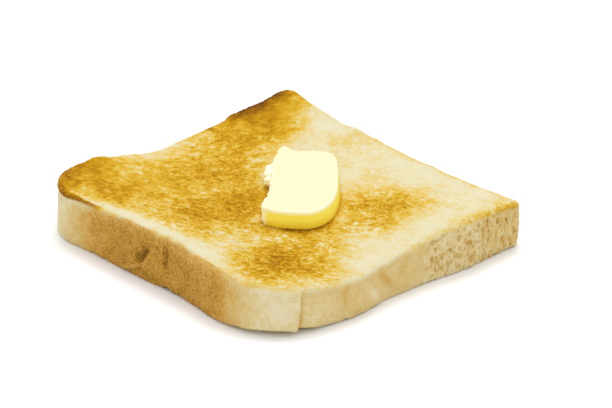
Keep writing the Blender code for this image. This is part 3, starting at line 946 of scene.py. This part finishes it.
def toasted_white_bread():
    """A ramp for the crumb and one for the crust, mixed by how much crust a place is."""
    made, tree, surface = new_material("toasted white bread")
    spot = add_node(tree, "ShaderNodeTexCoord").outputs["Object"]
    names = ("toasting", "bake", "crust", "porous", "grain")
    toasting, bake, crust, porous, grain = (
        add_node(tree, READ, attribute_name=name).outputs["Fac"] for name in names
    )

    # The crumb: specks and small bubbles swing its toasting, most where it is most toasted
    speck_inputs = {"Vector": spot, "Scale": 1 / SPECK, "Detail": 3.0, "Roughness": 0.7}
    specks = add_node(tree, "ShaderNodeTexNoise", speck_inputs).outputs["Fac"]
    lively = add_node(tree, RANGE, {0: toasting, 1: 0.0, 2: 0.5, 3: 0.15, 4: 1.15}).outputs[0]
    off = add_node(tree, MATH, {0: specks, 1: 0.5}, operation="SUBTRACT").outputs[0]
    cell_inputs = {"Vector": spot, "Scale": 1 / CELL}
    cell = add_node(tree, "ShaderNodeTexVoronoi", cell_inputs).outputs["Distance"]
    cell_off = add_node(tree, MATH, {0: cell, 1: 0.45}, operation="SUBTRACT")
    grainy = add_node(
        tree, MATH, {0: cell_off.outputs[0], 1: 0.5, 2: off}, operation=TIMES_PLUS
    ).outputs[0]
    swing = add_node(tree, MATH, {0: lively, 1: grain}, operation="MULTIPLY").outputs[0]
    speckled = add_node(
        tree, MATH, {0: grainy, 1: swing, 2: toasting}, operation=TIMES_PLUS
    ).outputs[0]
    along = add_node(tree, RANGE, {0: speckled, 1: PALEST, 2: DARKEST}).outputs[0]
    crumb_ramp = add_node(tree, "ShaderNodeValToRGB", {0: along})
    span = DARKEST - PALEST
    set_stops(crumb_ramp, [((at - PALEST) / span, colour) for at, colour in CRUMB_COLOURS])

    # The crust: flecks, and pits where it is porous, darkened as painted shade
    taller_inputs = {"Vector": spot, "Scale": (1, 1, PORE_WIDTH_SHARE)}
    taller = add_node(tree, "ShaderNodeMapping", taller_inputs).outputs[0]
    burst_inputs = {"Vector": taller, "Scale": 1 / PORE}
    burst = add_node(tree, "ShaderNodeTexVoronoi", burst_inputs).outputs["Distance"]
    pit = add_node(tree, RANGE, {0: burst, 1: 0.15, 2: 0.42, 3: 1.0, 4: 0.0}).outputs[0]
    in_crust = add_node(tree, MATH, {0: pit, 1: porous}, operation="MULTIPLY").outputs[0]
    flecked = add_node(tree, RANGE, {0: bake, 1: 0.0, 2: 0.8, 3: 0.4, 4: 1.5}).outputs[0]
    pitted = add_node(tree, MATH, {0: in_crust, 1: 0.5, 2: bake}, operation=TIMES_PLUS).outputs[0]
    baked = add_node(tree, MATH, {0: off, 1: flecked, 2: pitted}, operation=TIMES_PLUS).outputs[0]
    crust_along = add_node(tree, RANGE, {0: baked, 1: 0.0, 2: CRUST_SPAN}).outputs[0]
    crust_ramp = add_node(tree, "ShaderNodeValToRGB", {0: crust_along})
    set_stops(crust_ramp, [(at / CRUST_SPAN, colour) for at, colour in CRUST_COLOURS])

    # The two together, with the finest grain as a bump
    colour_inputs = {0: crust, 6: crumb_ramp.outputs[0], 7: crust_ramp.outputs[0]}
    colour = add_node(tree, "ShaderNodeMix", colour_inputs, data_type="RGBA").outputs[2]
    rough = add_node(tree, RANGE, {0: crust, 3: 0.9, 4: 0.65}).outputs[0]
    height = add_node(
        tree, MATH, {0: in_crust, 1: -1.5, 2: specks}, operation=TIMES_PLUS
    ).outputs[0]
    bump_inputs = {"Height": height, "Strength": 0.7, "Distance": 0.2 * MM}
    bump = add_node(tree, "ShaderNodeBump", bump_inputs)
    tree.links.new(colour, surface.inputs["Base Color"])
    tree.links.new(rough, surface.inputs["Roughness"])
    tree.links.new(bump.outputs[0], surface.inputs["Normal"])
    surface.inputs["Specular IOR Level"].default_value = 0.08
    return made


bread = toasted_white_bread()
toast.data.materials.append(bread)
print(bread.name, "has", len(bread.node_tree.nodes), "nodes")

# %% [markdown]
# ## The pat of butter
#
# A block of butter has a deeper yellow skin where the air dried it, and is pale inside. This
# pat was sliced off its end, so it has a flat pale cut face above and the block's rounded
# skin on two sides, and its third side broke off in flakes. It is the same kind of closed
# slab as the slice, with an outline of its own: two rounded corners of a superellipse on
# the skin's side, and an almost straight ragged break on the other.

# %% Butter's outline
BUTTER_THICKNESS = 5.0
NEAR_SQUARENESS, FAR_SQUARENESS = 2.1, 6.0  # a superellipse with exponent 2 is an ellipse
UNBROKEN_HALF = 15.8  # what the curves of the pat's ends would have run on to
SKIN_EDGE_RADIUS = 0.7


def to_break(along, up):
    """From the pat's middle to its broken side, along it and with up from 0 at the foot to 1
    at the top: it spreads at the near end, and flakes stand out below the far end."""
    face = 9.1 - 0.04 * along + 1.2 * ease((-12 - along) / 6) - 0.8 * ease((along - 16) / 6)
    flakes = 2.3 * ease((along - 4.5) / 2) * ease((19.5 - along) / 2)
    flakes *= 1 - 0.8 * hill(along - 9.2, 0.9)
    heel = 1.5 * hill(along + 13.5, 2.6) * hill(up - 0.55, 0.35)
    return face + flakes * ease((0.72 - up) / 0.15) * (0.35 + 0.65 * ease(up / 0.3)) + heel


def butter_outline(s, t, inset, up):
    """Carries the square -1..1 to the pat's outline drawn in by inset, as across and along."""
    half_length = BUTTER_HALF_LENGTH - inset
    squareness = np.where(t < 0, NEAR_SQUARENESS, FAR_SQUARENESS)
    ring = np.maximum(np.maximum(abs(s), abs(t)), 1e-6)
    total = np.maximum((abs(s) / ring) ** squareness + (abs(t) / ring) ** squareness, 1)
    shrink = total ** (-1 / squareness)
    skin_across, skin_along = s * (BUTTER_TO_SKIN - inset) * shrink, t * half_length * shrink
    broken_across = s * (to_break(t * half_length, up) - inset)
    curve = (1 - (abs(np.minimum(broken_across, 0)) / UNBROKEN_HALF) ** 3) ** (1 / 3)
    broken_along = t * half_length * curve
    along = np.where(s < 0, broken_along, skin_along)
    return np.where(s < 0, broken_across, skin_across), along


ends = butter_outline(np.array([-1.0, 1.0]), np.zeros(2), 0, 0.5)[0]
print("the pat is", round(float(ends[1] - ends[0]), 1), "mm wide in its middle")

# %% Butter's skin
BUTTER_CELLS, BUTTER_ROWS, BUTTER_EDGE_ROWS = 120, 30, 6
BUTTER_SINK, BUTTER_STANDS = 0.15, 0.3  # its foot into the crumb, and its top over the crumb
FOOT_SPREAD = 0.7  # the block's skin leans out towards its foot
PEAK_ACROSS, PEAK_ALONG = -5.4, 22.4  # where the knife tore a corner up


def butter_skin():
    """The pat's skin: places, the share across, across, along and up, the slope, and faces."""
    s, t, row, faces = slab_net(BUTTER_CELLS, BUTTER_ROWS)
    s, t = s * (1 + 0.15 * (1 - s * s)), t * (1 + 0.15 * (1 - t * t))
    below = row > BUTTER_ROWS
    inset, share, rise, slope = side_profile(
        np.minimum(row, BUTTER_ROWS), BUTTER_ROWS, BUTTER_EDGE_ROWS, BUTTER_EDGE_ROWS,
        SKIN_EDGE_RADIUS, SKIN_EDGE_RADIUS,
    )
    up = np.where(row == 0, 1, np.clip(share + rise / BUTTER_THICKNESS, 0, 1))
    across, along = butter_outline(s, t, inset, up)
    ring = np.maximum(abs(s), abs(t)) ** 6
    torn = ease((-s - 0.55) / 0.4) * ring
    spot = np.column_stack((across, along, 4 * up))
    across = across - torn * (0.55 * rough_noise(spot, 1.9, 71) + 0.30 * noise(spot, 0.8, 72))
    across = across + FOOT_SPREAD * (1 - up) * ease(s)
    peak = hill(across - PEAK_ACROSS, 1.6)
    along = along + 2.0 * peak * ease((along - 17) / 4) * ring * up
    x, y = turned(across, along, -BUTTER_TURN)
    x, y = BUTTER_CENTRE[0] + x, BUTTER_CENTRE[1] + y
    foot = top_height(x, y) - BUTTER_SINK + SKIN_EDGE_RADIUS
    middle = top_height(*(np.array([c]) for c in BUTTER_CENTRE))
    top = middle + BUTTER_THICKNESS + BUTTER_STANDS - SKIN_EDGE_RADIUS
    z = np.where(below, foot - SKIN_EDGE_RADIUS, foot + (top - foot) * share + rise)
    lumps = 0.10 * noise(spot, 6, 73) + torn * 0.28 * noise(spot, 1.6, 74)
    z += up * (lumps + 0.7 * peak * hill(along - PEAK_ALONG, 2.0))
    return np.column_stack((x, y, z)), s, across, along, up, slope, faces


butter_places, across_share, across, along, up, slope, butter_faces = butter_skin()

# The skin is on the upright sides, thins out towards the break and has a soft border on top, whose
# whiter band is part of the painted highlight along the top edge
skin_side = ease((across_share + 0.97) / 0.12) * ease((0.99 - up) / 0.22)
skin_side *= ease((np.hypot(across / BUTTER_TO_SKIN, along / BUTTER_HALF_LENGTH) - 0.75) / 0.15)
# Painted shade: the yellow skin darkens towards the foot
foot_shade = ease((0.55 - up) / 0.5)
# The flat top gets a duller cream than the rounded edge: the whiter edge is a painted highlight,
# and the duller top makes up for the stronger light that falls on it
lit_top_share = ease((slope - 0.8) / 0.2)
butter_looks = {"skin": skin_side, "low": foot_shade, "lit_top": lit_top_share}
butter = make_piece("butter_pat_surface", butter_places, butter_faces, butter_looks)

# %% Butter material
def cold_butter():
    """Fat with a little water in it: light goes a few millimetres in and comes out yellower,
    which the subsurface gives, and the surface is satin."""
    made, tree, surface = new_material("cold butter")
    skin, low, lit_top = (
        add_node(tree, READ, attribute_name=name).outputs["Fac"]
        for name in ("skin", "low", "lit_top")
    )
    # Painted shade: a deeper yellow towards the foot
    yellow_inputs = {0: low, 6: linear("#fff05e"), 7: linear("#f3d838")}
    yellow = add_node(tree, "ShaderNodeMix", yellow_inputs, data_type="RGBA").outputs[2]
    # Whiter cream off the flat top, duller on it: a painted highlight along the rounded edge, and a
    # duller top that makes up for the stronger light on it
    pale_inputs = {0: lit_top, 6: linear("#fffcd4"), 7: linear("#e8deb4")}
    pale = add_node(tree, "ShaderNodeMix", pale_inputs, data_type="RGBA").outputs[2]
    colour_inputs = {0: skin, 6: pale, 7: yellow}
    colour = add_node(tree, "ShaderNodeMix", colour_inputs, data_type="RGBA").outputs[2]
    spot = add_node(tree, "ShaderNodeTexCoord").outputs["Object"]
    grain_inputs = {"Vector": spot, "Scale": 1 / (1.2 * MM), "Detail": 2.0}
    grain = add_node(tree, "ShaderNodeTexNoise", grain_inputs).outputs["Fac"]
    bump_inputs = {"Height": grain, "Strength": 0.25, "Distance": 0.1 * MM}
    bump = add_node(tree, "ShaderNodeBump", bump_inputs)
    tree.links.new(colour, surface.inputs["Base Color"])
    tree.links.new(bump.outputs[0], surface.inputs["Normal"])
    surface.inputs["Roughness"].default_value = 0.42
    surface.inputs["IOR"].default_value = 1.46
    surface.inputs["Subsurface Weight"].default_value = 0.2
    surface.inputs["Subsurface Radius"].default_value = (1.0, 0.95, 0.5)
    surface.inputs["Subsurface Scale"].default_value = 1.2 * MM
    return made


satin = cold_butter()
butter.data.materials.append(satin)
print(satin.name, "has", len(satin.node_tree.nodes), "nodes")

# %% Finish
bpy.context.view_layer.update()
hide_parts("toast_slice")
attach(toast, "root")
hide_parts("butter_pat")
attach(butter, "root")
